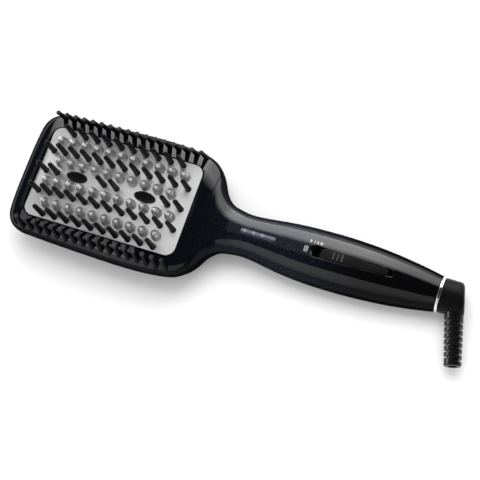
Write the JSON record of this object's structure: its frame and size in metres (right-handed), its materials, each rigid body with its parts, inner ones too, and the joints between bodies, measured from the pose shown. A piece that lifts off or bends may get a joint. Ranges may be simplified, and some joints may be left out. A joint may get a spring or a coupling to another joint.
{
  "type": "heated styling brush",
  "caption": "Heated paddle brush: domed hot plate with studs and bristles, comb teeth on the rim, slide switch in the handle and a swivelling cord end.",
  "frame": {"origin": "on the flat back of the head, below the middle of the heater plate", "axes": "+X from the head to the cord end, +Z out of the bristle face, +Y to complete a right-handed frame"},
  "size_m": [0.2914, 0.0836, 0.0526],
  "materials": {
    "shell_blue": "glossy midnight blue with a fine flake",
    "shell_black": "gloss black",
    "plate_silver": "satin silver",
    "bristle_black": "satin black nylon",
    "outlet_black": "matt black",
    "needle_steel": "bright",
    "heater_ceramic": "white ceramic",
    "mica": "amber mica",
    "stack_steel": "plain steel",
    "tray_plastic": "heat-proof plastic",
    "sensor_glass": "resin bead",
    "fuse_metal": "plain can",
    "generator_resin": "potting resin",
    "board_black": "black solder mask",
    "relay_black": "moulded",
    "capacitor_sleeve": "printed sleeve without print",
    "lever_black": "moulded",
    "button_black": "satin",
    "rib_grey": "satin",
    "window_clear": "smoked lilac",
    "lamp_white": "diffuse",
    "ring_chrome": "polished",
    "cap_black": "satin",
    "contact_brass": "plain",
    "relief_rubber": "matt black",
    "screw_steel": "blackened steel",
    "wire_white": "glass-fibre sleeve",
    "lead_grey": "thin sleeve",
    "lead_red": "silicone sleeve",
    "mains_brown": "sleeve",
    "mains_blue": "sleeve"
  },
  "bodies": {
    "body": {"head_frame": "shell_blue", "handle_front_shell": "shell_blue", "rear_shell": "shell_black", "heater_plate": "plate_silver", "bristle_strip_1": "bristle_black", "bristle_strip_2": "bristle_black", "bristle_strip_3": "bristle_black", "bristle_strip_4": "bristle_black", "bristle_strip_5": "bristle_black", "bristle_strip_6": "bristle_black", "bristle_strip_7": "bristle_black", "ion_outlet_1": "outlet_black", "ion_outlet_2": "outlet_black", "ion_needle_1": "needle_steel", "ion_needle_2": "needle_steel", "ceramic_heater_1": "heater_ceramic", "ceramic_heater_2": "heater_ceramic", "mica_sheet": "mica", "clamp_plate": "stack_steel", "heater_tray": "tray_plastic", "thermistor": "sensor_glass", "thermal_fuse": "fuse_metal", "ion_generator": "generator_resin", "control_board": "board_black", "led_board": "board_black", "relay": "relay_black", "switch_housing": "relay_black", "capacitor": "capacitor_sleeve", "led_window": "window_clear", "indicator_leds": "lamp_white", "power_lamp": "lamp_white", "chrome_ring": "ring_chrome", "brush_holder": "cap_black", "brush_contacts": "contact_brass", "head_screws": "screw_steel", "plate_screws": "screw_steel", "handle_screws": "screw_steel", "heater_wire_1": "wire_white", "heater_wire_2": "wire_white", "heater_wire_3": "wire_white", "heater_wire_4": "wire_white", "thermistor_lead": "lead_grey", "fuse_lead": "lead_grey", "led_lead": "lead_grey", "ion_feed_lead": "lead_red", "ion_needle_lead_1": "lead_red", "ion_needle_lead_2": "lead_red", "mains_wire_live": "mains_brown", "mains_wire_neutral": "mains_blue"},
    "slider": {"slide_button": "button_black", "thumb_ribs": "rib_grey", "switch_lever": "lever_black"},
    "cord_swivel": {"swivel_cap": "cap_black", "swivel_core": "cap_black", "slip_rings": "contact_brass", "strain_relief": "relief_rubber"}
  },
  "joints": [
    {"name": "heat_slide", "type": "slide", "parent": "body", "child": "slider", "axis": [-1, 0, 0], "range_m": [0, 0.0063]},
    {"name": "cord_turn", "type": "hinge", "parent": "body", "child": "cord_swivel", "pos_m": [0.2034, 0, 0.0108], "axis": [1, 0, 0], "continuous": true}
  ]
}
